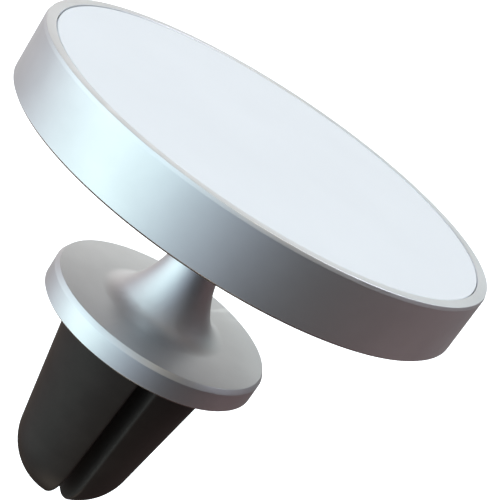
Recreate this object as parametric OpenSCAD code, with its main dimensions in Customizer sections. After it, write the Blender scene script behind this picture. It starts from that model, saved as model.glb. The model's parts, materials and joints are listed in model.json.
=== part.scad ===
// Magnetic phone mount for a car air vent.
// A round magnetic head turns on a ball at the end of a trumpet-shaped stem,
// and a clip with two sprung jaws grips one blade of the vent.
// In use: +Z is up, the phone face looks along -Y and the clip points along +Y.
// The origin is the middle of the clip's slot, at its closed end.
// Sub-parts are drawn on a local axis: z is the distance behind the phone face.

/* [Head] */
// Outer diameter of the head
head_d = 62; // [60:0.5:66]
// Width of the silver rim around the pad
rim_w = 1.45; // [1.3:0.05:2]
// Length of the aluminium wall
shell_len = 7.85; // [7.6:0.05:8.3]
// Width of the bevel on the shell's front edge
shell_bevel = 0.14; // [0.1:0.02:0.3]
// Width of the bevel on the shell's back edge
shell_back_bevel = 0.26; // [0.1:0.02:0.4]
// Thickness of the soft pad
pad_t = 1; // [0.8:0.05:1]

/* [Magnets] */
// Number of arc magnets in the ring
magnet_count = 18; // [12:2:24]
// Inner diameter of the magnet ring
magnet_id = 46; // [45:0.5:47]
// Radial width of a magnet
magnet_w = 4.2; // [3.5:0.1:4.4]
// Thickness of a magnet
magnet_t = 2.2; // [1.5:0.1:2.4]
// Gap between two magnets
magnet_gap = 0.3; // [0.1:0.05:0.6]

/* [Ball joint] */
// Diameter of the ball
ball_d = 13; // [12.6:0.1:13]
// Distance of the ball's centre behind the phone face
ball_depth = 10.2; // [10.2:0.05:10.5]
// Running clearance between round faces that turn on each other
running_gap = 0.04; // [0.02:0.01:0.06]
// Outer diameter of the socket's nut
nut_d = 21; // [20:0.5:22]
// Number of grip flutes around the nut
flute_count = 16; // [8:2:20]

/* [Stem] */
// Diameter of the neck behind the ball
neck_d = 6.6; // [6.4:0.1:6.8]
// Radius of the long curve that widens the neck
flare_r = 14; // [13:0.5:14]
// Radius of the short curve that ends in the flange's face
foot_r = 3.6; // [3.2:0.1:4]
// Diameter at which the flare meets the flange's face
flare_d = 18; // [17.6:0.2:18.4]
// Diameter of the flange
flange_d = 30.34; // [29:0.02:32]
// Distance of the flange's front edge behind the phone face
flange_front = 26.1; // [25.8:0.1:27]
// Height of the flange at its edge
flange_t = 3.37; // [3:0.01:4]
// Width of the bevel on the flange's front edge
flange_bevel = 0.4; // [0.3:0.05:0.6]

/* [Clip] */
// Length of the clip behind the flange
clip_len = 26.19; // [25:0.01:30]
// Radius of the round tip
tip_r = 8.14; // [7.5:0.02:8.5]
// Slope of the jaws' sides
taper = 8.83; // [8:0.01:10]
// Width of the slot that takes the vent blade
slot_w = 2.3; // [1.8:0.1:2.6]
// Thickness of the rubber on the outside of a jaw
skin_t = 1.3; // [1:0.1:1.5]
// Thickness of the rubber inside the slot
lining_t = 0.9; // [0.8:0.05:1.1]
// Distance of the jaw pins from the stem's axis
pin_offset = 6; // [5.8:0.05:6.1]
// Diameter of the jaw pins
pin_d = 1.5; // [1.4:0.1:1.6]

/* [Hidden] */
$fn = 96;
eps = 0.01;

// Head, from the face backwards
head_r = head_d / 2;
shell_bevel_len = 3 * shell_bevel;
shell_lip_step = 0.05;
lip_r = head_r - rim_w;
pad_front = 0.05;
pad_gap = 0.13;
pad_r = lip_r - pad_gap;
pad_back = pad_front + pad_t;
film_t = 0.15;
film_margin = 0.5;
ledge_front = pad_back + film_t;
ledge_t = 1;
ledge_w = 1.7;
ledge_back = ledge_front + ledge_t;
fit_gap = 0.05;
tray_r = lip_r - fit_gap;
tray_len = 4.6;
tray_back = ledge_front + tray_len;
plate_screw_at = 18;
plate_screw_head_r = 1.9;
plate_screw_head_t = 1;
plate_screw_r = 1;
plate_screw_len = 4.4;
plate_screw_sink = 0.1;
plate_screw_key_r = 0.7;
plate_sink = 0.02;
plate_back = shell_len - plate_sink;
plate_bore_gap = 0.15;

// Magnet ring
tray_floor_t = 0.6;
magnet_front = ledge_front + tray_floor_t;
magnet_in_r = magnet_id / 2;
magnet_out_r = magnet_in_r + magnet_w;
magnet_back = magnet_front + magnet_t;
yoke_t = 0.7;
channel_gap = 0.08;

// Ball joint
ball_r = ball_d / 2;
ball_flat = 5.5;
film_r = ball_r + running_gap / 2;
film_wall = 0.28;
film_reach_front = 5.8;
film_reach_back = 3.1;
film_front = ball_depth - film_reach_front;
film_back = ball_depth + film_reach_back;
seat_r = film_r + film_wall + running_gap;
socket_floor_front = ledge_front + 0.2;
socket_floor_back = socket_floor_front + 1.2;
socket_flange_r = 13;
socket_in_r = 7.6;
socket_out_r = 9;
socket_end = ball_depth + 2;
socket_screw_at = 11.1;
socket_screw_head_r = 1.4;
socket_screw_head_t = 0.8;
socket_screw_r = 0.8;
socket_screw_len = 3.6;
socket_screw_key_r = 0.55;
screw_hole_gap = 0.2;
seat_out_r = socket_in_r - fit_gap;
seat_split = 0.4;
seat_end = ball_depth + 2.8;
preload_wire_r = 0.35;
preload_ring_r = 5.4;
liner_bore_r = 2.5;
liner_front = socket_floor_back + 2 * preload_wire_r + 0.02;
seat_ring_bore_r = ball_r / 2;
nut_front = plate_back + 0.3;
nut_lip_front = seat_end + running_gap;
nut_lip_t = 1.2;
nut_back = nut_lip_front + nut_lip_t;
nut_front_bevel = 0.3;
nut_back_bevel = 0.8;
nut_mouth_r = 6.3;
nut_mouth_out_r = 7.6;
nut_end_gap = 0.1;
flute_r = 1;
flute_depth = 0.45;
flute_start = 0.8;
thread_gap = 0.05;

// Stem
neck_r = neck_d / 2;
flange_r = flange_d / 2;
stem_front = ball_depth + ball_flat;
flange_back = flange_front + flange_t;
flange_front_r = flange_r - flange_bevel;
flare_end_r = flare_d / 2;
bend_angle = acos((flare_r - flare_end_r + neck_r) / (flare_r - foot_r));
bend_at = flange_front - foot_r * (1 - sin(bend_angle));
flare_front = bend_at - flare_r * sin(bend_angle);
// the short curve cuts this much deeper, so that it crosses the long one and the face
flare_step = 0.002;
flange_bevel_len = 1.6 * flange_bevel;
flange_back_bevel = 0.2;
shank_r = 1.5;
shank_len = 6.5;
thread_clearance = 0.02;
pocket_r = 8.65;
pocket_depth = 1.4;
pocket_front = flange_back - pocket_depth;
clip_bore_depth = 6;

// Clip
washer_t = 0.4;
washer_bore_r = 2.5;
base_r = 8.6;
base_front = pocket_front + washer_t;
slot_root = flange_back + 1.53;
clip_screw_r = 1.5;
clip_screw_head_r = 3;
clip_screw_head_t = 1.5;
clip_screw_len = 7;
clip_screw_key_r = 1;
clip_tip = flange_back + clip_len;
tip_centre = clip_tip - tip_r;
// the round tip stands out this far from the cone, so that the two surfaces cross
tip_step = 0.02;
core_front = slot_root + 0.7;
grip_front = flange_back + 0.7;
lining_front = slot_root + 0.4;
pin_height = slot_root + 2.2;
pin_r = pin_d / 2;
pin_half_len = 4.3;
pin_press_gap = 0.01;
lug_in = 2.9;
lug_out = 4.3;
lug_r = 1.3;
lug_room = 0.3;
stop_half_len = 4;
stop_t = 0.9;
stop_in = 0.2;
foot_sink = 0.3;
skin_open_r = clip_radius(skin_t, core_front) - 0.04;
coil_count = 5;
spring_wire_r = 0.28;
coil_r = pin_r + spring_wire_r + 0.1;
spring_room_half = 1.8;
spring_room_r = 2.1;
spring_leg_len = 5;
leg_room_x = 0.5;
leg_room_w = 1.2;
leg_room_gap = 0.4;
far = 80;

// Radius of the tapered clip at a distance z behind the phone face, moved inwards by inset
function clip_radius(inset, z) =
    (tip_r - inset) / cos(taper) + (tip_centre - z) * tan(taper) - tip_step;

// Turns the local axis, z behind the phone face, into the part's +Y
module on_axis() {
    translate([0, -slot_root, 0])
        rotate([-90, 0, 0])
            children();
}

// Copies for the upper jaw at local -Y and the lower jaw at local +Y
module both_jaws() {
    children();
    mirror([0, 1, 0])
        children();
}

module ring(r_out, r_in, z0, z1) {
    translate([0, 0, z0])
        difference() {
            cylinder(r = r_out, h = z1 - z0);
            translate([0, 0, -1])
                cylinder(r = r_in, h = z1 - z0 + 2);
        }
}

// Countersunk screw on the local axis, its head's flat at z = 0 and its point at -z
module flat_screw(head_r, head_t, thread_r, len, socket_r) {
    difference() {
        union() {
            translate([0, 0, -head_t])
                cylinder(r1 = thread_r, r2 = head_r, h = head_t);
            translate([0, 0, -len])
                cylinder(r = thread_r, h = len - head_t + eps);
        }
        translate([0, 0, -head_t * 0.7])
            cylinder(r = socket_r, h = head_t, $fn = 6);
    }
}

module flat_screw_hole(head_r, head_t, thread_r, len) {
    translate([0, 0, -head_t])
        cylinder(r1 = thread_r + fit_gap, r2 = head_r + fit_gap, h = head_t);
    translate([0, 0, -len])
        cylinder(r = thread_r + fit_gap, h = len);
    cylinder(r = head_r + fit_gap, h = 1);
}

module plate_screws_at() {
    for (a = [45:90:315])
        rotate(a)
            translate([plate_screw_at, 0, plate_back - plate_screw_sink])
                children();
}

module socket_screws_at() {
    for (a = [30:120:270])
        rotate(a)
            translate([socket_screw_at, 0, socket_floor_front + fit_gap])
                mirror([0, 0, 1])
                    children();
}

// ---- Head ----

module head_shell() {
    color([0.80, 0.81, 0.83])
        on_axis()
            rotate_extrude($fn = 180)
                polygon([
                    [lip_r, 0],
                    [head_r - shell_bevel, 0],
                    [head_r, shell_bevel_len],
                    [head_r, shell_len - shell_back_bevel],
                    [head_r - shell_back_bevel, shell_len],
                    [lip_r + shell_lip_step, shell_len],
                    [lip_r + shell_lip_step, ledge_back],
                    [lip_r - ledge_w, ledge_back],
                    [lip_r - ledge_w, ledge_front],
                    [lip_r, ledge_front]
                ]);
}

module face_pad() {
    color([0.92, 0.95, 0.98])
        on_axis()
            translate([0, 0, pad_front])
                cylinder(r = pad_r, h = pad_t);
}

module pad_adhesive() {
    color([0.75, 0.75, 0.70])
        on_axis()
            translate([0, 0, pad_back])
                cylinder(r = pad_r - film_margin, h = film_t);
}

// Tray that fills the shell: a channel for the magnets, open at the back,
// and a hole with a front recess for the socket
module magnet_carrier() {
    color([0.15, 0.15, 0.16])
        on_axis()
            difference() {
                union() {
                    translate([0, 0, ledge_front])
                        cylinder(r = lip_r - ledge_w - fit_gap, h = tray_len);
                    translate([0, 0, ledge_back])
                        cylinder(r = tray_r, h = tray_back - ledge_back);
                }
                ring(magnet_out_r + channel_gap, magnet_in_r - channel_gap,
                    magnet_front, tray_back + 1);
                translate([0, 0, ledge_front - 1])
                    cylinder(r = socket_flange_r + fit_gap, h = socket_floor_back - ledge_front + 1);
                translate([0, 0, ledge_front])
                    cylinder(r = socket_out_r + fit_gap, h = tray_back);
                plate_screws_at()
                    translate([0, 0, -plate_screw_len - screw_hole_gap])
                        cylinder(r = plate_screw_r + fit_gap, h = plate_screw_len);
                socket_screws_at()
                    translate([0, 0, -socket_screw_len - screw_hole_gap])
                        cylinder(r = socket_screw_r + fit_gap, h = socket_screw_len);
            }
}

// One arc of the magnet ring, centred on +X
module magnet_arc(half_angle) {
    translate([0, 0, magnet_front])
        intersection() {
            ring(magnet_out_r, magnet_in_r, 0, magnet_t);
            translate([0, 0, -1])
                linear_extrude(magnet_t + 2)
                    polygon([
                        [0, 0],
                        [far * cos(half_angle), -far * sin(half_angle)],
                        [far * cos(half_angle), far * sin(half_angle)]
                    ]);
        }
}

module magnet_segments() {
    gap_angle = magnet_gap / magnet_in_r * 180 / PI;
    half_angle = (360 / magnet_count - gap_angle) / 2;
    color([0.62, 0.62, 0.64])
        on_axis()
            for (i = [0:magnet_count - 1])
                rotate(i * 360 / magnet_count)
                    magnet_arc(half_angle);
}

module yoke_ring() {
    color([0.45, 0.46, 0.48])
        on_axis()
            ring(magnet_out_r, magnet_in_r, magnet_back, magnet_back + yoke_t);
}

module back_plate() {
    color([0.78, 0.79, 0.81])
        on_axis()
            difference() {
                ring(tray_r, socket_out_r + plate_bore_gap, tray_back, plate_back);
                plate_screws_at()
                    flat_screw_hole(plate_screw_head_r, plate_screw_head_t, plate_screw_r,
                        plate_screw_len + screw_hole_gap);
            }
}

module back_plate_screws() {
    color([0.30, 0.30, 0.32])
        on_axis()
            plate_screws_at()
                flat_screw(plate_screw_head_r, plate_screw_head_t, plate_screw_r,
                    plate_screw_len, plate_screw_key_r);
}

// Cup with a flange that the tray holds from behind
module ball_socket() {
    color([0.55, 0.56, 0.58])
        on_axis()
            difference() {
                union() {
                    translate([0, 0, socket_floor_front])
                        cylinder(r = socket_flange_r, h = socket_floor_back - socket_floor_front);
                    translate([0, 0, socket_floor_front])
                        cylinder(r = socket_out_r, h = socket_end - socket_floor_front);
                }
                translate([0, 0, socket_floor_back])
                    cylinder(r = socket_in_r, h = socket_end);
                socket_screws_at()
                    flat_screw_hole(socket_screw_head_r, socket_screw_head_t, socket_screw_r,
                        socket_screw_len + screw_hole_gap);
            }
}

module socket_screws() {
    color([0.35, 0.35, 0.37])
        on_axis()
            socket_screws_at()
                flat_screw(socket_screw_head_r, socket_screw_head_t, socket_screw_r,
                    socket_screw_len, socket_screw_key_r);
}

module preload_ring() {
    color([0.08, 0.08, 0.08])
        on_axis()
            translate([0, 0, socket_floor_back + preload_wire_r])
                rotate_extrude()
                    translate([preload_ring_r, 0])
                        circle(r = preload_wire_r, $fn = 32);
}

// Fluted nut that screws over the socket and holds the seat ring
module collar_nut() {
    nut_r = nut_d / 2;
    color([0.72, 0.73, 0.75])
        on_axis()
            difference() {
                rotate_extrude()
                    polygon([
                        [socket_out_r + thread_gap, nut_front],
                        [nut_r - nut_front_bevel, nut_front],
                        [nut_r, nut_front + nut_front_bevel],
                        [nut_r, nut_back - nut_back_bevel],
                        [nut_r - nut_back_bevel, nut_back],
                        [nut_mouth_out_r, nut_back],
                        [nut_mouth_r, nut_lip_front],
                        [socket_in_r, nut_lip_front],
                        [socket_in_r, socket_end + nut_end_gap],
                        [socket_out_r + thread_gap, socket_end + nut_end_gap]
                    ]);
                for (i = [0:flute_count - 1])
                    rotate(i * 360 / flute_count)
                        translate([nut_r + flute_r - flute_depth, 0, nut_front + flute_start])
                            cylinder(r = flute_r, h = nut_back, $fn = 24);
            }
}

// ---- Ball seats ----

module ball_space(r) {
    translate([0, 0, ball_depth])
        sphere(r = r);
}

module seat_liner() {
    color([0.88, 0.88, 0.84])
        on_axis()
            difference() {
                ring(seat_out_r, liner_bore_r, liner_front, ball_depth - seat_split / 2);
                ball_space(seat_r);
            }
}

module seat_ring() {
    color([0.88, 0.88, 0.84])
        on_axis()
            difference() {
                ring(seat_out_r, seat_ring_bore_r, ball_depth + seat_split / 2, seat_end);
                ball_space(seat_r);
            }
}

// Thin slip film between the ball and its seats
module ball_film() {
    color([0.95, 0.95, 0.92])
        on_axis()
            difference() {
                intersection() {
                    ball_space(film_r + film_wall);
                    translate([0, 0, film_front])
                        cylinder(r = ball_d, h = film_back - film_front);
                }
                ball_space(film_r);
            }
}

// ---- Stem ----

// Ball with a flat where the neck meets it, and a shank screwed into the stem
module ball_stud() {
    color([0.78, 0.79, 0.81])
        on_axis()
            union() {
                difference() {
                    ball_space(ball_r);
                    translate([0, 0, stem_front])
                        cylinder(r = ball_d, h = ball_d);
                }
                translate([0, 0, ball_depth])
                    cylinder(r = shank_r, h = ball_flat + shank_len);
            }
}

// Half section of the trumpet: neck, flare in two curves, flange
module stem_section() {
    difference() {
        polygon([
            [0, stem_front],
            [neck_r, stem_front],
            [neck_r, flare_front],
            [flare_end_r, flare_front],
            [flare_end_r, flange_front],
            [flange_front_r, flange_front],
            [flange_r, flange_front + flange_bevel_len],
            [flange_r, flange_back - flange_back_bevel],
            [flange_r - flange_back_bevel, flange_back],
            [0, flange_back]
        ]);
        intersection() {
            translate([neck_r + flare_r, flare_front])
                circle(r = flare_r, $fn = 180);
            translate([0, flare_front - 1])
                square([far, bend_at - flare_front + 1]);
        }
        translate([flare_end_r, flange_front - foot_r])
            circle(r = foot_r + flare_step, $fn = 180);
    }
}

module stem() {
    color([0.80, 0.81, 0.83])
        on_axis()
            difference() {
                rotate_extrude($fn = 180)
                    stem_section();
                translate([0, 0, stem_front - 1])
                    cylinder(r = shank_r + thread_clearance, h = shank_len + 1.1);
                translate([0, 0, pocket_front])
                    cylinder(r = pocket_r, h = pocket_depth + 1);
                translate([0, 0, flange_back - clip_bore_depth])
                    cylinder(r = clip_screw_r + thread_clearance, h = clip_bore_depth);
            }
}

// ---- Clip base ----

module base_washer() {
    color([0.10, 0.10, 0.10])
        on_axis()
            ring(pocket_r - 0.1, washer_bore_r, pocket_front, base_front);
}

// Lug that holds one end of a jaw pin, on the +X side at local -Y
module pin_lug() {
    difference() {
        union() {
            translate([lug_in, -pin_offset, pin_height])
                rotate([0, 90, 0])
                    cylinder(r = lug_r, h = lug_out - lug_in);
            translate([lug_in, -pin_offset - lug_r, slot_root - foot_sink])
                cube([lug_out - lug_in, 2 * lug_r, pin_height - slot_root + foot_sink]);
        }
        translate([lug_in - 1, -pin_offset, pin_height])
            rotate([0, 90, 0])
                cylinder(r = pin_r + pin_press_gap, h = lug_out - lug_in + 2);
    }
}

module clip_base() {
    color([0.12, 0.12, 0.13])
        on_axis()
            difference() {
                union() {
                    translate([0, 0, base_front])
                        cylinder(r = base_r, h = slot_root - base_front);
                    both_jaws()
                        for (side = [0, 1])
                            mirror([side, 0, 0])
                                pin_lug();
                    // heel stops: the closed jaws rest on them
                    both_jaws()
                        translate([-stop_half_len, slot_w / 2 + lining_t + stop_in, slot_root - foot_sink])
                            cube([2 * stop_half_len, stop_t, core_front - slot_root + foot_sink - fit_gap]);
                }
                translate([0, 0, slot_root])
                    flat_screw_hole(clip_screw_head_r, clip_screw_head_t, clip_screw_r, clip_screw_len + 1);
            }
}

module clip_screw() {
    color([0.60, 0.61, 0.63])
        on_axis()
            translate([0, 0, slot_root - fit_gap])
                flat_screw(clip_screw_head_r, clip_screw_head_t, clip_screw_r,
                    clip_screw_len, clip_screw_key_r);
}

module hinge_pins() {
    color([0.70, 0.71, 0.73])
        on_axis()
            both_jaws()
                translate([-pin_half_len, -pin_offset, pin_height])
                    rotate([0, 90, 0])
                        cylinder(r = pin_r, h = 2 * pin_half_len);
}

// Torsion spring on one pin: coils side by side, one leg on the base, one in the jaw
module jaw_spring() {
    pitch = 2 * spring_wire_r - 0.04;
    last = (coil_count - 1) / 2 * pitch;
    leg_r = spring_wire_r - 0.03;
    translate([0, -pin_offset, pin_height])
        union() {
            rotate([0, 90, 0])
                rotate_extrude($fn = 48)
                    for (i = [0:coil_count - 1])
                        translate([coil_r, i * pitch - last])
                            circle(r = spring_wire_r, $fn = 24);
            translate([-last, coil_r, slot_root - pin_height + 0.05])
                cylinder(r = leg_r, h = pin_height - slot_root, $fn = 24);
            translate([last, -coil_r, 0])
                cylinder(r = leg_r, h = spring_leg_len, $fn = 24);
        }
}

module jaw_springs() {
    color([0.75, 0.76, 0.78])
        on_axis()
            both_jaws()
                jaw_spring();
}

// ---- Jaws ----

// Tapered clip body with a round tip, moved inwards by inset
module clip_body(inset, z0) {
    r = tip_r - inset;
    joint_z = tip_centre + r * sin(taper);
    translate([0, 0, z0])
        cylinder(r1 = clip_radius(inset, z0), r2 = r * cos(taper) - tip_step,
            h = joint_z - z0, $fn = 180);
    translate([0, 0, tip_centre])
        sphere(r = r, $fn = 180);
}

// The part of the clip body on the local -Y side, beyond a distance from the slot's middle
module half_body(inset, from_middle, z0) {
    intersection() {
        clip_body(inset, z0);
        translate([-far / 2, -far / 2 - from_middle, z0])
            cube([far, far / 2, far]);
    }
}

// Room in a jaw for the base's lugs and for the spring
module jaw_rooms() {
    for (side = [0, 1])
        mirror([side, 0, 0])
            translate([lug_in - lug_room, -pin_offset - lug_r - lug_room, slot_root - 1])
                cube([lug_out - lug_in + 2 * lug_room, 2 * (lug_r + lug_room),
                    pin_height - slot_root + lug_r + lug_room + 1]);
    translate([-spring_room_half, -pin_offset - spring_room_r, slot_root - 1])
        cube([2 * spring_room_half, 2 * spring_room_r, pin_height - slot_root + spring_room_r + 1]);
    translate([leg_room_x, -pin_offset - coil_r - leg_room_gap, slot_root])
        cube([leg_room_w, leg_room_w, pin_height - slot_root + spring_leg_len + leg_room_gap]);
}

module jaw_core() {
    difference() {
        half_body(skin_t, slot_w / 2 + lining_t, core_front);
        jaw_rooms();
        translate([-far / 2, -pin_offset, pin_height])
            rotate([0, 90, 0])
                cylinder(r = pin_r + running_gap, h = far);
    }
}

module jaw_grip() {
    difference() {
        half_body(0, slot_w / 2, grip_front);
        half_body(skin_t, slot_w / 2 + lining_t, core_front);
        // the skin is open towards the base
        translate([0, 0, grip_front - 1])
            difference() {
                cylinder(r = skin_open_r, h = core_front - grip_front + 1 + eps);
                translate([-far / 2, -slot_w / 2 - lining_t, -1])
                    cube([far, far, far]);
            }
        translate([-far / 2, -slot_w / 2 - lining_t - eps, grip_front - 1])
            cube([far, far, lining_front - grip_front + 1]);
    }
}

module upper_jaw_core() {
    color([0.14, 0.14, 0.15])
        on_axis()
            jaw_core();
}

module upper_jaw_grip() {
    color([0.13, 0.13, 0.13])
        on_axis()
            jaw_grip();
}

module lower_jaw_core() {
    color([0.14, 0.14, 0.15])
        on_axis()
            mirror([0, 1, 0])
                jaw_core();
}

module lower_jaw_grip() {
    color([0.13, 0.13, 0.13])
        on_axis()
            mirror([0, 1, 0])
                jaw_grip();
}

head_shell();
face_pad();
pad_adhesive();
magnet_carrier();
magnet_segments();
yoke_ring();
back_plate();
back_plate_screws();
ball_socket();
socket_screws();
preload_ring();
collar_nut();
seat_liner();
seat_ring();
ball_film();
ball_stud();
stem();
base_washer();
clip_base();
clip_screw();
hinge_pins();
jaw_springs();
upper_jaw_core();
upper_jaw_grip();
lower_jaw_core();
lower_jaw_grip();
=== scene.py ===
"""Looks, light and camera for the vent phone mount.

Lengths are in mm in profiles and in names that end in _MM or _mm, and in metres elsewhere.
"""

import json
import math

import bmesh
import bpy
from mathutils import Matrix, Vector


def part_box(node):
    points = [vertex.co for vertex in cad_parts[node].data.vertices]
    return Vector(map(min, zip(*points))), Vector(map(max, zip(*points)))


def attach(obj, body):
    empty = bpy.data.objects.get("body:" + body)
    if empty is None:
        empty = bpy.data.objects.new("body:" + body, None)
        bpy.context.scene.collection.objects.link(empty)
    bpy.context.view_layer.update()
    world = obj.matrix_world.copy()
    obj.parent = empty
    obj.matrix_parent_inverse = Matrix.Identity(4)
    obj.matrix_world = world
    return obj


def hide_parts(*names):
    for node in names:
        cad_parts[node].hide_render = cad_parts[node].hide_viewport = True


MM = 0.001

# Camera: the direction back from its subject, its roll, its lens and its place
CAMERA_AZIMUTH = -70.291
CAMERA_ELEVATION = 20.109
CAMERA_ROLL = -62.957
CAMERA_LENS_MM = 97.172
CAMERA_POSITION_MM = (-148.685, -70.804, 52.805)
CAMERA_NEAR = 0.01
CAMERA_FAR = 50.0

# The room's soft lights: azimuth and elevation in degrees, sharpness, colour and strength
ROOM_LIGHTS = {
    "open room overhead": (-50, 75, 1, (0.5, 0.52, 0.7)),
    "sky in the roof": (-50, 75, 3, (0.8, 1.15, 1.05)),
    "window": (-155, 60, 30, (0.9, 1.15, 0.95)),
    "warm side of the room": (80, 35, 1, (0.2, 0.1, 0.05)),
    "side wall": (85, -10, 8, (1.05, 1.1, 1.1)),
    "near wall": (45, -30, 8, (0.35, 0.45, 0.45)),
    "floor": (175, -65, 3, (0.15, 0.1, 0.1)),
    "front lamp": (-30, 0, 30, (3.4, 2.85, 1.75)),
    "low front lamp": (-5, -35, 30, (8.2, 8.5, 9.4)),
    "back lamp": (-170, 0, 30, (2.2, 1.9, 1.55)),
}

# Head, in mm
RIM_WIDTH_MM = 1.45
FRONT_BEVEL_WIDTH_MM = 0.14
FRONT_BEVEL_LENGTH_MM = 0.42
BACK_BEVEL_MM = 0.26
SOFT_EDGE_MM = 0.10
CUT_EDGE_MM = 0.04
LEDGE_FRONT_MM = 1.2
LEDGE_BACK_MM = 2.2
LEDGE_WIDTH_MM = 1.7
INSIDE_STEP_MM = 0.05
PAD_EDGE_ROUND_MM = 0.18
PAD_BACK_ROUND_MM = 0.1

# Stem, in mm
NECK_RADIUS_MM = 3.3
BORE_RADIUS_MM = 1.52
FLARE_CURVE_MM = 14.0
FOOT_CURVE_MM = 3.6
FLARE_END_RADIUS_MM = 9.0
FLANGE_BEVEL_MM = 0.4
FLANGE_BEVEL_LENGTH_MM = 0.64
FLANGE_BACK_BEVEL_MM = 0.2
FLANGE_HEIGHT_MM = 3.37
POCKET_RADIUS_MM = 8.65
POCKET_DEPTH_MM = 1.4
NECK_END_ROUND_MM = 0.15
POCKET_MOUTH_ROUND_MM = 0.12

# Jaws, in mm
JAW_TAPER_DEGREES = 8.83
JAW_TIP_RADIUS_MM = 8.14
JAW_HALF_GAP_MM = 1.15
JAW_ROUND_MM = 0.35
LINING_FACE_MM = 2.05
LINING_FRONT_MM = 31.4
CORE_FRONT_MM = 31.7
SKIN_MM = 1.3
SKIRT_ROOM_RADIUS_MM = 9.34
SKIRT_LAP_MM = 0.05
SKIRT_INNER_ROUND_MM = 0.25
SKIRT_OUTER_ROUND_MM = 0.35
JAW_ARC_STEPS = 72
JAW_FILLET_STEPS = 6
JAW_FLAT_STEPS = 8

# Rounding of the edges of the CAD nodes that keep their own shape, in mm
EDGE_ROUNDING_MM = {
    "back_plate_screws": 0.05,
    "collar_nut": 0.10,
    "clip_base": 0.15,
}

# Edges of those nodes that turn by more than this are rounded
ROUNDED_EDGE_DEGREES = 30.0

# Faces picked by their unit normal: along Y for a cut back edge, across the slot for its walls
CUT_NORMAL_RANGE = (0.1, 0.99)
SLOT_WALL_NORMAL = 0.9

# Mesh points closer than this are one point
MERGE_DISTANCE_MM = 0.0005

# Half of a corner's angle above which it counts as a straight line
STRAIGHT_HALF_ANGLE = math.radians(89)

# Floor, in metres: the width of the square and its distance below the mount's axis
FLOOR_WIDTH = 12.0
FLOOR_DROP = 0.45

ALUMINIUM = (0.80, 0.81, 0.83)
WHITE = (1.0, 1.0, 1.0, 1.0)


# ---- Node helpers ----


def new_material(name):
    """A material with an empty tree, and its Principled shader."""
    material = bpy.data.materials.new(name)
    material.use_nodes = True
    tree = material.node_tree
    tree.nodes.clear()
    output = tree.nodes.new("ShaderNodeOutputMaterial")
    shader = tree.nodes.new("ShaderNodeBsdfPrincipled")
    tree.links.new(shader.outputs["BSDF"], output.inputs["Surface"])
    return material, tree, shader


def object_coordinates(tree):
    return tree.nodes.new("ShaderNodeTexCoord").outputs["Object"]


def noise(tree, vector, scale, detail=3.0, roughness=0.55):
    """A noise pattern between 0 and 1. Scale is in cycles per metre."""
    node = tree.nodes.new("ShaderNodeTexNoise")
    node.inputs["Scale"].default_value = scale
    node.inputs["Detail"].default_value = detail
    node.inputs["Roughness"].default_value = roughness
    tree.links.new(vector, node.inputs["Vector"])
    return node.outputs["Fac"]


def remap(tree, value, low, high, to_low=0.0, to_high=1.0):
    """Maps low..high to to_low..to_high, clamped."""
    node = tree.nodes.new("ShaderNodeMapRange")
    node.inputs["From Min"].default_value = low
    node.inputs["From Max"].default_value = high
    node.inputs["To Min"].default_value = to_low
    node.inputs["To Max"].default_value = to_high
    tree.links.new(value, node.inputs["Value"])
    return node.outputs["Result"]


def math_node(tree, operation, a, b=None):
    """Arithmetic on numbers or on other nodes' outputs."""
    node = tree.nodes.new("ShaderNodeMath")
    node.operation = operation
    for socket, value in zip(node.inputs, (a, b)):
        if value is None:
            continue
        if isinstance(value, (int, float)):
            socket.default_value = value
        else:
            tree.links.new(value, socket)
    return node.outputs["Value"]


def vector_node(tree, operation, a, b):
    """Arithmetic on tuples or on other nodes' outputs."""
    node = tree.nodes.new("ShaderNodeVectorMath")
    node.operation = operation
    for socket, value in zip(node.inputs, (a, b)):
        if isinstance(value, tuple):
            socket.default_value = value
        else:
            tree.links.new(value, socket)
    return node.outputs["Value" if operation == "DOT_PRODUCT" else "Vector"]


def mix_colours(tree, factor, first, second):
    """The first colour where the factor is 0 and the second where it is 1."""
    node = tree.nodes.new("ShaderNodeMix")
    node.data_type = "RGBA"
    tree.links.new(factor, node.inputs["Factor"])
    node.inputs["A"].default_value = (*first, 1.0)
    node.inputs["B"].default_value = (*second, 1.0)
    return node.outputs["Result"]


def bump(tree, shader, height, strength, height_mm):
    """Small relief on the shader's surface, height_mm deep before its strength."""
    node = tree.nodes.new("ShaderNodeBump")
    node.inputs["Strength"].default_value = strength
    node.inputs["Distance"].default_value = height_mm * MM
    tree.links.new(height, node.inputs["Height"])
    tree.links.new(node.outputs["Normal"], shader.inputs["Normal"])


def edge_mask(tree, low=0.52, high=0.60):
    """1 on convex edges and 0 elsewhere."""
    geometry = tree.nodes.new("ShaderNodeNewGeometry")
    return remap(tree, geometry.outputs["Pointiness"], low, high)


def radius_from_stem(tree, vector):
    """Distance from the stem's axis, which lies along Y."""
    split = tree.nodes.new("ShaderNodeSeparateXYZ")
    tree.links.new(vector, split.inputs["Vector"])
    x_squared = math_node(tree, "POWER", split.outputs["X"], 2.0)
    z_squared = math_node(tree, "POWER", split.outputs["Z"], 2.0)
    return math_node(tree, "SQRT", math_node(tree, "ADD", x_squared, z_squared))


# ---- Materials ----


def tinted(colour, factor, lift=0.0):
    """The colour made brighter or darker by a factor, and paler by a lift."""
    return tuple(min(1.0, channel * factor + lift) for channel in colour)


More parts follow.
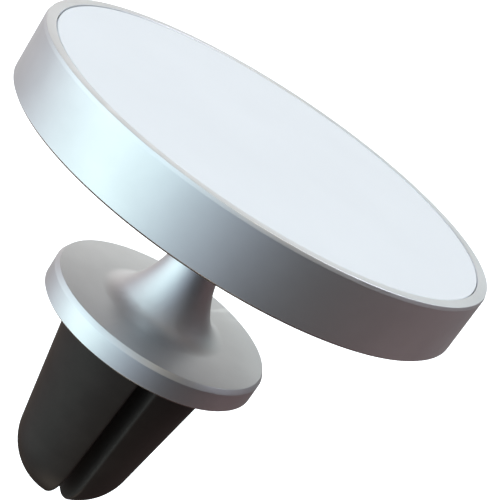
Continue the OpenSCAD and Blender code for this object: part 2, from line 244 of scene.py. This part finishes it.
def anodised_aluminium(name, colour, roughness=0.48, grain=0.05, wear=0.08):
    """Bead-blasted, anodised aluminium: a fine even grain, faint cloudiness, shinier worn edges."""
    material, tree, shader = new_material(name)
    where = object_coordinates(tree)
    cloud = noise(tree, where, scale=90.0, detail=4.0)
    fine = noise(tree, where, scale=9000.0, detail=2.0)
    bright = tinted(colour, 1.05)
    dull = tinted(colour, 0.965)
    tone = mix_colours(tree, remap(tree, cloud, 0.35, 0.65), dull, bright)
    tree.links.new(tone, shader.inputs["Base Color"])
    shader.inputs["Metallic"].default_value = 1.0
    grainy = remap(tree, fine, 0.3, 0.7, roughness - 0.03, roughness + 0.03)
    worn = math_node(tree, "MULTIPLY", edge_mask(tree), wear)
    tree.links.new(math_node(tree, "SUBTRACT", grainy, worn), shader.inputs["Roughness"])
    bump(tree, shader, fine, strength=grain, height_mm=0.02)
    return material


def turned_metal(name, colour, roughness=0.28, groove_mm=0.12, depth=0.25):
    """Bare metal from a lathe: rings around the stem's axis and small stains."""
    material, tree, shader = new_material(name)
    where = object_coordinates(tree)
    radius = radius_from_stem(tree, where)
    turns = math_node(tree, "MULTIPLY", radius, 2.0 * math.pi / (groove_mm * MM))
    rings = math_node(tree, "SINE", turns)
    stain = noise(tree, where, scale=260.0, detail=5.0)
    dark = tinted(colour, 0.82)
    tone = mix_colours(tree, remap(tree, stain, 0.3, 0.7), dark, colour)
    tree.links.new(tone, shader.inputs["Base Color"])
    shader.inputs["Metallic"].default_value = 1.0
    rough = remap(tree, stain, 0.25, 0.75, roughness - 0.06, roughness + 0.08)
    tree.links.new(rough, shader.inputs["Roughness"])
    bump(tree, shader, rings, strength=depth, height_mm=0.004)
    return material


def ground_steel(name, colour, roughness=0.22):
    """Polished or plated steel with fine scratches all over."""
    material, tree, shader = new_material(name)
    where = object_coordinates(tree)
    scratches = noise(tree, where, scale=3200.0, detail=6.0, roughness=0.7)
    patches = noise(tree, where, scale=400.0)
    dark = tinted(colour, 0.88)
    tone = mix_colours(tree, remap(tree, patches, 0.3, 0.7), dark, colour)
    tree.links.new(tone, shader.inputs["Base Color"])
    shader.inputs["Metallic"].default_value = 1.0
    rough = remap(tree, scratches, 0.3, 0.7, roughness - 0.05, roughness + 0.08)
    tree.links.new(rough, shader.inputs["Roughness"])
    bump(tree, shader, scratches, strength=0.08, height_mm=0.01)
    return material


def moulded_plastic(name, colour, roughness=0.45, grain_mm=0.18, depth=0.2):
    """Injection-moulded plastic: a sparked grain, paler rubbed edges."""
    material, tree, shader = new_material(name)
    where = object_coordinates(tree)
    grain = noise(tree, where, scale=1.0 / (grain_mm * MM))
    patches = noise(tree, where, scale=150.0)
    pale = tinted(colour, 1.35, lift=0.01)
    rubbed = math_node(tree, "MULTIPLY", edge_mask(tree, 0.53, 0.66), 0.6)
    dusty = math_node(tree, "MULTIPLY", remap(tree, patches, 0.4, 0.75), 0.25)
    tone = mix_colours(tree, math_node(tree, "MAXIMUM", rubbed, dusty), colour, pale)
    tree.links.new(tone, shader.inputs["Base Color"])
    shader.inputs["Specular IOR Level"].default_value = 0.45
    rough = remap(tree, grain, 0.3, 0.7, roughness - 0.05, roughness + 0.06)
    tree.links.new(rough, shader.inputs["Roughness"])
    bump(tree, shader, grain, strength=depth, height_mm=0.012)
    return material


def satin_rubber(name, colour, roughness=0.42):
    """Black moulded rubber: a soft sheen, a fine matt grain and a faint bloom."""
    material, tree, shader = new_material(name)
    where = object_coordinates(tree)
    grain = noise(tree, where, scale=5200.0)
    bloom = noise(tree, where, scale=220.0, detail=5.0, roughness=0.6)
    pale = tinted(colour, 1.5, lift=0.004)
    hazy = math_node(tree, "MULTIPLY", remap(tree, bloom, 0.42, 0.8), 0.55)
    rubbed = edge_mask(tree, 0.55, 0.8)
    tone = mix_colours(tree, math_node(tree, "MAXIMUM", hazy, rubbed), colour, pale)
    tree.links.new(tone, shader.inputs["Base Color"])
    shader.inputs["Specular IOR Level"].default_value = 0.16
    rough = remap(tree, bloom, 0.3, 0.75, roughness - 0.03, roughness + 0.06)
    tree.links.new(rough, shader.inputs["Roughness"])
    bump(tree, shader, grain, strength=0.16, height_mm=0.01)
    return material


def soft_pad(name, colour):
    """Matt silicone sheet: a very fine skin texture and barely visible tone changes."""
    material, tree, shader = new_material(name)
    where = object_coordinates(tree)
    skin = noise(tree, where, scale=6500.0)
    cloud = noise(tree, where, scale=60.0)
    shade = tinted(colour, 0.975)
    tone = mix_colours(tree, remap(tree, cloud, 0.3, 0.7), shade, colour)
    tree.links.new(tone, shader.inputs["Base Color"])
    shader.inputs["Specular IOR Level"].default_value = 0.35
    rough = remap(tree, skin, 0.3, 0.7, 0.55, 0.68)
    tree.links.new(rough, shader.inputs["Roughness"])
    bump(tree, shader, skin, strength=0.10, height_mm=0.01)
    return material


def make_materials():
    """One material per CAD node."""
    aluminium = anodised_aluminium("anodised_aluminium", ALUMINIUM)
    nut = anodised_aluminium("anodised_nut", (0.74, 0.75, 0.77), roughness=0.30, grain=0.08)
    rubber = satin_rubber("satin_rubber", (0.032, 0.026, 0.023))
    plain_rubber = satin_rubber("plain_rubber", (0.015, 0.015, 0.015), roughness=0.55)
    black_plastic = moulded_plastic("black_plastic", (0.030, 0.030, 0.033))
    acetal = moulded_plastic("white_acetal", (0.78, 0.77, 0.71), roughness=0.35, depth=0.08)
    turned = turned_metal("turned_metal", (0.62, 0.63, 0.65))
    steel = ground_steel("ground_steel", (0.66, 0.66, 0.67))
    return {
        "head_shell": aluminium,
        "stem": aluminium,
        "collar_nut": nut,
        "face_pad": soft_pad("soft_pad", (0.83, 0.875, 0.925)),
        "pad_adhesive": moulded_plastic("adhesive_film", (0.55, 0.54, 0.48), roughness=0.3),
        "magnet_carrier": black_plastic,
        "magnet_segments": ground_steel("nickel_plating", (0.62, 0.60, 0.55), roughness=0.16),
        "yoke_ring": ground_steel("zinc_plated_yoke", (0.50, 0.51, 0.53), roughness=0.35),
        "back_plate": anodised_aluminium("anodised_plate", (0.78, 0.79, 0.81), wear=0.0),
        "back_plate_screws": ground_steel("black_oxide", (0.08, 0.08, 0.085), roughness=0.35),
        "ball_socket": turned,
        "socket_screws": steel,
        "preload_ring": plain_rubber,
        "seat_liner": acetal,
        "seat_ring": acetal,
        "ball_film": moulded_plastic("slip_film", (0.85, 0.84, 0.80), roughness=0.25, depth=0.05),
        "ball_stud": ground_steel("polished_ball", (0.72, 0.72, 0.73), roughness=0.12),
        "base_washer": plain_rubber,
        "clip_base": black_plastic,
        "clip_screw": steel,
        "hinge_pins": steel,
        "jaw_springs": ground_steel("spring_wire", (0.60, 0.60, 0.61), roughness=0.25),
        "upper_jaw_core": black_plastic,
        "lower_jaw_core": black_plastic,
        "upper_jaw_grip": rubber,
        "lower_jaw_grip": rubber,
    }


# ---- Mesh tools ----
# Profiles are lists of (radius, depth) in mm. Depth is the distance behind the phone face.


def rounded_outline(corners, steps=5):
    """A closed polyline from corners (radius, depth, fillet), with each corner rounded."""
    outline = []
    count = len(corners)
    for i, (radius, depth, fillet) in enumerate(corners):
        here = Vector((radius, depth))
        to_last = (Vector(corners[i - 1][:2]) - here).normalized()
        to_next = (Vector(corners[(i + 1) % count][:2]) - here).normalized()
        half = to_last.angle(to_next) / 2
        if fillet == 0.0 or half > STRAIGHT_HALF_ANGLE:
            outline.append((radius, depth))
            continue
        reach = fillet / math.tan(half)
        centre = here + (to_last + to_next).normalized() * (fillet / math.sin(half))
        first = here + to_last * reach - centre
        last = here + to_next * reach - centre
        for k in range(steps + 1):
            spoke = first.slerp(last, k / steps)
            outline.append(tuple(centre + spoke * fillet))
    return outline


def face_offset():
    """Y of the phone face in mm."""
    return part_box("head_shell")[0].y / MM


def on_circle(radius, depth, angle):
    """The point of a circle around the stem's axis. Angle 0 is along X, and 90 degrees is up."""
    return Vector((radius * math.cos(angle), depth, radius * math.sin(angle)))


def place_ring(mesh, points, side=1):
    """Mesh points from points in mm, whose Y is a depth. Side -1 turns them upside down."""
    front = face_offset()
    return [mesh.verts.new(Vector((p.x, front + p.y, p.z * side)) * MM) for p in points]


def bridge(mesh, ring, following):
    """Faces between two closed rings that have the same number of points."""
    count = len(ring)
    for k in range(count):
        after = (k + 1) % count
        mesh.faces.new((ring[k], ring[after], following[after], following[k]))


def lathe(name, outline, segments=288):
    """Turns a closed outline around the stem's axis."""
    mesh = bmesh.new()
    angles = [2 * math.pi * k / segments for k in range(segments)]
    rings = []
    for radius, depth in outline:
        rings.append(place_ring(mesh, [on_circle(radius, depth, angle) for angle in angles]))
    for ring, following in zip(rings, rings[1:] + rings[:1]):
        bridge(mesh, ring, following)
    return finish_mesh(name, mesh)


def finish_mesh(name, mesh, sharp_degrees=40.0):
    """Makes an object from a bmesh, smooth but for its sharp edges."""
    bmesh.ops.remove_doubles(mesh, verts=mesh.verts, dist=MERGE_DISTANCE_MM * MM)
    bmesh.ops.recalc_face_normals(mesh, faces=mesh.faces)
    data = bpy.data.meshes.new(name)
    mesh.to_mesh(data)
    mesh.free()
    data.shade_smooth()
    data.set_sharp_from_angle(angle=math.radians(sharp_degrees))
    piece = bpy.data.objects.new(name, data)
    bpy.context.scene.collection.objects.link(piece)
    return piece


def bake_modifiers(piece):
    """Replaces the mesh with what its modifiers make of it."""
    bpy.context.view_layer.update()
    graph = bpy.context.evaluated_depsgraph_get()
    data = bpy.data.meshes.new_from_object(piece.evaluated_get(graph))
    piece.modifiers.clear()
    piece.data = data


def cut_back_edge(piece, plain, cut):
    """A second material on the faces that look outwards and backwards: the edge that was cut last."""
    set_materials(piece, plain, cut)
    least, most = CUT_NORMAL_RANGE
    for face in piece.data.polygons:
        face.material_index = 1 if least < face.normal.y < most else 0


def body_of_node(name):
    """The body that carries a CAD node, as the frame's record has it."""
    for body, members in frame["record"]["behaviour"]["bodies"].items():
        if name in members:
            return body
    raise ValueError(name)


def stand_for(piece, name):
    """The piece moves with the node's body and is shown instead of the node."""
    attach(piece, body_of_node(name))
    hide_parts(name)


def set_materials(piece, *materials):
    """The piece's material slots, in order."""
    piece.data.materials.clear()
    for material in materials:
        piece.data.materials.append(material)


# ---- Pieces ----


def make_head_shell(material, cut):
    """Aluminium ring: front lip, wall, and a ledge inside that carries the pad."""
    low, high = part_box("head_shell")
    radius = high.x / MM
    depth = (high.y - low.y) / MM
    lip = radius - RIM_WIDTH_MM
    inside = lip + INSIDE_STEP_MM
    corners = [
        (lip, 0.0, SOFT_EDGE_MM),
        (radius - FRONT_BEVEL_WIDTH_MM, 0.0, SOFT_EDGE_MM / 2),
        (radius, FRONT_BEVEL_LENGTH_MM, SOFT_EDGE_MM),
        (radius, depth - BACK_BEVEL_MM, CUT_EDGE_MM),
        (radius - BACK_BEVEL_MM, depth, CUT_EDGE_MM),
        (inside, depth, 0.0),
        (inside, LEDGE_BACK_MM, 0.0),
        (lip - LEDGE_WIDTH_MM, LEDGE_BACK_MM, 0.0),
        (lip - LEDGE_WIDTH_MM, LEDGE_FRONT_MM, 0.0),
        (lip, LEDGE_FRONT_MM, 0.0),
    ]
    piece = lathe("head_shell_turned", rounded_outline(corners))
    cut_back_edge(piece, material, cut)
    stand_for(piece, "head_shell")


def make_face_pad(material):
    """Soft pad: a disc with a rolled edge, and its skin a hair below the rim."""
    low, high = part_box("face_pad")
    radius = high.x / MM
    front = low.y / MM - face_offset()
    back = high.y / MM - face_offset()
    corners = [
        (0.0, front, 0.0),
        (radius, front, PAD_EDGE_ROUND_MM),
        (radius, back, PAD_BACK_ROUND_MM),
        (0.0, back, 0.0),
    ]
    piece = lathe("face_pad_moulded", rounded_outline(corners, steps=7))
    set_materials(piece, material)
    stand_for(piece, "face_pad")


def arc(radius, depth, curve, first, last, steps=24):
    """Corners on a circle about (radius, depth), on its side near the axis. Angles are in radians."""
    points = []
    for k in range(steps + 1):
        angle = first + (last - first) * k / steps
        points.append((radius - curve * math.cos(angle), depth + curve * math.sin(angle), 0.0))
    return points


def flare_points(flange_front):
    """The long curve that widens the neck and the short one that ends in the flange's face."""
    long_centre = NECK_RADIUS_MM + FLARE_CURVE_MM
    bend = math.acos((long_centre - FLARE_END_RADIUS_MM) / (FLARE_CURVE_MM - FOOT_CURVE_MM))
    foot_centre = flange_front - FOOT_CURVE_MM
    start = foot_centre - (FLARE_CURVE_MM - FOOT_CURVE_MM) * math.sin(bend)
    long_curve = arc(long_centre, start, FLARE_CURVE_MM, 0.0, bend)
    foot_curve = arc(FLARE_END_RADIUS_MM, foot_centre, FOOT_CURVE_MM, bend, math.radians(90))
    return long_curve + foot_curve[1:]


def make_stem(material, cut):
    """Trumpet: neck, flare, flange and the pocket behind it."""
    low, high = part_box("stem")
    radius = high.x / MM
    front = low.y / MM - face_offset()
    back = high.y / MM - face_offset()
    flange_front = back - FLANGE_HEIGHT_MM
    corners = [(BORE_RADIUS_MM, front, 0.0), (NECK_RADIUS_MM, front, NECK_END_ROUND_MM)]
    corners += flare_points(flange_front)
    corners += [
        (radius - FLANGE_BEVEL_MM, flange_front, SOFT_EDGE_MM),
        (radius, flange_front + FLANGE_BEVEL_LENGTH_MM, SOFT_EDGE_MM),
        (radius, back - FLANGE_BACK_BEVEL_MM, CUT_EDGE_MM),
        (radius - FLANGE_BACK_BEVEL_MM, back, CUT_EDGE_MM),
        (POCKET_RADIUS_MM, back, POCKET_MOUTH_ROUND_MM),
        (POCKET_RADIUS_MM, back - POCKET_DEPTH_MM, 0.0),
        (BORE_RADIUS_MM, back - POCKET_DEPTH_MM, 0.0),
    ]
    piece = lathe("stem_turned", rounded_outline(corners))
    cut_back_edge(piece, material, cut)
    stand_for(piece, "stem")


def jaw_profile(start, inset, flat, cone_steps=25, ball_steps=44):
    """Rows from the depth start to the tip, on a jaw's surface moved inwards by inset.

    The last row is as close to the axis as the flat face is. A row is a radius, a depth, and the
    outward normal along both.
    """
    slope = math.radians(JAW_TAPER_DEGREES)
    ball = JAW_TIP_RADIUS_MM - inset
    centre = jaw_tip_depth() - JAW_TIP_RADIUS_MM
    foot = centre + ball * math.sin(slope)
    rows = []
    for k in range(cone_steps):
        depth = start + (foot - start) * k / cone_steps
        radius = ball * math.cos(slope) + (foot - depth) * math.tan(slope)
        rows.append((radius, depth, math.cos(slope), math.sin(slope)))
    last = math.acos(flat / ball)
    for k in range(ball_steps + 1):
        angle = slope + (last - slope) * k / ball_steps
        out, along = math.cos(angle), math.sin(angle)
        rows.append((ball * out, centre + ball * along, out, along))
    return rows


def arc_angle(lean, k):
    """Angle of point k on the round side of a ring whose ends are lean above the horizontal."""
    return lean + (math.pi - 2 * lean) * k / JAW_ARC_STEPS


def jaw_ring(row, rounding):
    """A closed ring around a jaw: the round back, a fillet, the flat slot face, a fillet."""
    radius, depth, out, along = row
    lean = math.asin(min(1.0, (JAW_HALF_GAP_MM + rounding) / radius))
    down = Vector((0.0, 0.0, -1.0))

    def spot(angle):
        radial = Vector((math.cos(angle), 0.0, math.sin(angle)))
        centre = radial * radius + Vector((0.0, depth, 0.0))
        normal = radial * out + Vector((0.0, along, 0.0))
        return centre, normal.normalized()

    points = []
    for k in range(JAW_ARC_STEPS + 1):
        centre, normal = spot(arc_angle(lean, k))
        points.append(centre + normal * rounding)
    left, left_normal = spot(math.pi - lean)
    right, right_normal = spot(lean)
    for k in range(1, JAW_FILLET_STEPS + 1):
        points.append(left + left_normal.slerp(down, k / JAW_FILLET_STEPS) * rounding)
    for k in range(1, JAW_FLAT_STEPS):
        points.append(left.lerp(right, k / JAW_FLAT_STEPS) + down * rounding)
    for k in range(JAW_FILLET_STEPS, 0, -1):
        points.append(right + right_normal.slerp(down, k / JAW_FILLET_STEPS) * rounding)
    return points


def room_ring(radius, depth):
    """A ring with as many points as jaw_ring, around the room that the plastic core fills."""
    lean = math.asin(min(1.0, LINING_FACE_MM / radius))
    points = [on_circle(radius, depth, arc_angle(lean, k)) for k in range(JAW_ARC_STEPS + 1)]
    left, right = points[-1], points[0]
    count = 2 * JAW_FILLET_STEPS + JAW_FLAT_STEPS
    for k in range(1, count):
        points.append(left.lerp(right, k / count))
    return points


def add_skirt(mesh, front, side):
    """The rubber's open end: a wall around the clip base that laps into the jaw's rubber."""
    slope = math.tan(math.radians(JAW_TAPER_DEGREES))
    outer = jaw_profile(LINING_FRONT_MM, 0.0, JAW_HALF_GAP_MM)[0][0]
    front_outer = outer + (LINING_FRONT_MM - front) * slope
    corners = [
        (SKIRT_ROOM_RADIUS_MM, front, SKIRT_INNER_ROUND_MM),
        (front_outer, front, SKIRT_OUTER_ROUND_MM),
        (outer, LINING_FRONT_MM, 0.0),
        (outer - SKIRT_LAP_MM, LINING_FRONT_MM + SKIRT_LAP_MM, 0.0),
        (SKIRT_ROOM_RADIUS_MM + SKIRT_LAP_MM, LINING_FRONT_MM + SKIRT_LAP_MM, 0.0),
    ]
    rings = []
    outline = rounded_outline(corners)
    for k in range(JAW_ARC_STEPS + 1):
        ring = []
        for radius, depth in outline:
            lean = math.asin(LINING_FACE_MM / radius)
            ring.append(on_circle(radius, depth, arc_angle(lean, k)))
        rings.append(place_ring(mesh, ring, side))
    for ring, following in zip(rings, rings[1:]):
        bridge(mesh, ring, following)
    mesh.faces.new(rings[0])
    mesh.faces.new(rings[-1])


def jaw_tip_depth():
    """Depth of the round tip's middle, which the slot cuts away."""
    drop = JAW_TIP_RADIUS_MM - math.sqrt(JAW_TIP_RADIUS_MM**2 - JAW_HALF_GAP_MM**2)
    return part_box("upper_jaw_grip")[1].y / MM - face_offset() + drop


def inner_rings():
    """Rings of the room for the plastic core, from its tip to its open end."""
    profile = jaw_profile(CORE_FRONT_MM, SKIN_MM, LINING_FACE_MM, cone_steps=1, ball_steps=16)
    rings = [room_ring(radius, depth) for radius, depth, _, _ in reversed(profile)]
    return rings + [room_ring(SKIRT_ROOM_RADIUS_MM, LINING_FRONT_MM)]


def outer_rings():
    """Rings of the jaw's outside, from its skirt to its tip."""
    start = LINING_FRONT_MM - JAW_ROUND_MM * math.sin(math.radians(JAW_TAPER_DEGREES))
    profile = jaw_profile(start, JAW_ROUND_MM, JAW_HALF_GAP_MM + JAW_ROUND_MM)
    return [jaw_ring(row, JAW_ROUND_MM) for row in profile]


def make_jaw(name, side, skin, painted_light_lining):
    """Rubber skin of one jaw, satin outside and matt in the slot. The slot walls are in a paler
    rubber that paints light into the shaded slot. Side is -1 below the slot.
    """
    mesh = bmesh.new()
    rings = [place_ring(mesh, points, side) for points in inner_rings() + outer_rings()]
    for ring, following in zip(rings, rings[1:]):
        bridge(mesh, ring, following)
    add_skirt(mesh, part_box(name)[0].y / MM - face_offset(), side)
    piece = finish_mesh(name + "_moulded", mesh)
    set_materials(piece, skin, painted_light_lining)
    for face in piece.data.polygons:
        # Slot walls get the paler rubber with painted light
        face.material_index = 1 if face.normal.z * side < -SLOT_WALL_NORMAL else 0
    stand_for(piece, name)


def rounded_copy(name, width_mm, material):
    """A copy of a CAD node with rounded edges, which stands for the node."""
    mesh = bmesh.new()
    mesh.from_mesh(frame["nodes"][name].data)
    piece = finish_mesh(name + "_rounded", mesh, sharp_degrees=ROUNDED_EDGE_DEGREES)
    bevel = piece.modifiers.new("rounding", "BEVEL")
    bevel.width = width_mm * MM
    bevel.segments = 3
    bevel.limit_method = "ANGLE"
    bevel.angle_limit = math.radians(ROUNDED_EDGE_DEGREES)
    bevel.harden_normals = True
    bake_modifiers(piece)
    set_materials(piece, material)
    stand_for(piece, name)


def dress_nodes(materials):
    """Gives every CAD node its material, and makes the pieces that stand for some of them."""
    for name, node in frame["nodes"].items():
        set_materials(node, materials[name])
    cut = anodised_aluminium("cut_aluminium", ALUMINIUM, roughness=0.16, grain=0.0)
    make_head_shell(materials["head_shell"], cut)
    make_face_pad(materials["face_pad"])
    make_stem(materials["stem"], cut)
    # Matt rubber for the slot walls, paler than the jaws' outer rubber: painted light inside the
    # shaded slot
    painted_light_lining = satin_rubber("slot_rubber_with_painted_light", (0.042, 0.036, 0.032), roughness=0.75)
    make_jaw("upper_jaw_grip", 1, materials["upper_jaw_grip"], painted_light_lining)
    make_jaw("lower_jaw_grip", -1, materials["lower_jaw_grip"], painted_light_lining)
    for name, width_mm in EDGE_ROUNDING_MM.items():
        rounded_copy(name, width_mm, materials[name])


# ---- Studio ----


def towards(azimuth_degrees, elevation_degrees):
    """A direction: azimuth 0 looks along -Y and 90 along +X, elevation 90 looks up."""
    azimuth = math.radians(azimuth_degrees)
    elevation = math.radians(elevation_degrees)
    return (
        math.sin(azimuth) * math.cos(elevation),
        -math.cos(azimuth) * math.cos(elevation),
        math.sin(elevation),
    )


def make_camera():
    """The camera, which looks against its direction back and is rolled on its own axis."""
    back = Vector(towards(CAMERA_AZIMUTH, CAMERA_ELEVATION))
    level = (-back).to_track_quat("-Z", "Y").to_matrix()
    rolled = level @ Matrix.Rotation(math.radians(CAMERA_ROLL), 3, "Z")
    data = bpy.data.cameras.new("camera")
    data.lens = CAMERA_LENS_MM
    data.sensor_width = 36.0
    data.clip_start = CAMERA_NEAR
    data.clip_end = CAMERA_FAR
    camera = bpy.data.objects.new("camera", data)
    camera.matrix_world = rolled.to_4x4()
    camera.location = Vector(CAMERA_POSITION_MM) * MM
    bpy.context.scene.collection.objects.link(camera)
    bpy.context.scene.camera = camera


def make_world():
    """White to the camera. Everything else is lit by the soft lights of the room."""
    world = bpy.data.worlds.new("studio")
    world.use_nodes = True
    bpy.context.scene.world = world
    tree = world.node_tree
    tree.nodes.clear()
    output = tree.nodes.new("ShaderNodeOutputWorld")
    choose = tree.nodes.new("ShaderNodeMixShader")
    rays = tree.nodes.new("ShaderNodeLightPath")
    seen = tree.nodes.new("ShaderNodeBackground")
    seen.inputs["Color"].default_value = WHITE
    room = tree.nodes.new("ShaderNodeBackground")
    tree.links.new(rays.outputs["Is Camera Ray"], choose.inputs["Fac"])
    tree.links.new(room.outputs["Background"], choose.inputs[1])
    tree.links.new(seen.outputs["Background"], choose.inputs[2])
    tree.links.new(choose.outputs["Shader"], output.inputs["Surface"])
    tree.links.new(room_colour(tree), room.inputs["Color"])


def room_colour(tree):
    """The sum of the room's soft lights."""
    direction = tree.nodes.new("ShaderNodeTexCoord").outputs["Generated"]
    total = None
    for name, light in ROOM_LIGHTS.items():
        glow = soft_light(tree, direction, *light)
        glow.node.label = name
        total = glow if total is None else vector_node(tree, "ADD", total, glow)
    return total


def soft_light(tree, direction, azimuth, elevation, sharpness, colour):
    """Light from one side of the room, strongest at its middle and none beyond 90 degrees from it."""
    middle = towards(azimuth, elevation)
    nearness = vector_node(tree, "DOT_PRODUCT", direction, middle)
    fade = math_node(tree, "POWER", math_node(tree, "MAXIMUM", nearness, 0.0), sharpness)
    spread = tree.nodes.new("ShaderNodeCombineXYZ")
    for axis in "XYZ":
        tree.links.new(fade, spread.inputs[axis])
    return vector_node(tree, "MULTIPLY", spread.outputs["Vector"], colour)


def make_floor():
    """A pale floor well below the mount, which a vent holds in mid-air."""
    mesh = bpy.data.meshes.new("floor")
    half = FLOOR_WIDTH / 2
    corners = [(-half, -half), (half, -half), (half, half), (-half, half)]
    mesh.from_pydata([(x, y, -FLOOR_DROP) for x, y in corners], [], [(0, 1, 2, 3)])
    floor = bpy.data.objects.new("floor", mesh)
    bpy.context.scene.collection.objects.link(floor)
    material, _, shader = new_material("pale_floor")
    shader.inputs["Base Color"].default_value = (0.9, 0.9, 0.9, 1.0)
    shader.inputs["Roughness"].default_value = 0.8
    shader.inputs["Emission Color"].default_value = WHITE
    shader.inputs["Emission Strength"].default_value = 1.0
    floor.data.materials.append(material)
    floor.visible_diffuse = False
    floor.visible_glossy = False
    floor.visible_shadow = False


with open("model.json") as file:
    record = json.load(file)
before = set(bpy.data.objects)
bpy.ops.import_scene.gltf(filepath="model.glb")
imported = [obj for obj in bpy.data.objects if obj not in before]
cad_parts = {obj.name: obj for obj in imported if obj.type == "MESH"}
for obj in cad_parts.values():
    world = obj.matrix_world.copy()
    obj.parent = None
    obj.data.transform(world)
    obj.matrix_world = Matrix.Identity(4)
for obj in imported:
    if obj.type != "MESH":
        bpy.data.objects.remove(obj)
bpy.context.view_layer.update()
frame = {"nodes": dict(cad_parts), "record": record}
bpy.context.scene.view_settings.view_transform = "Standard"
make_camera()
make_world()
make_floor()
dress_nodes(make_materials())
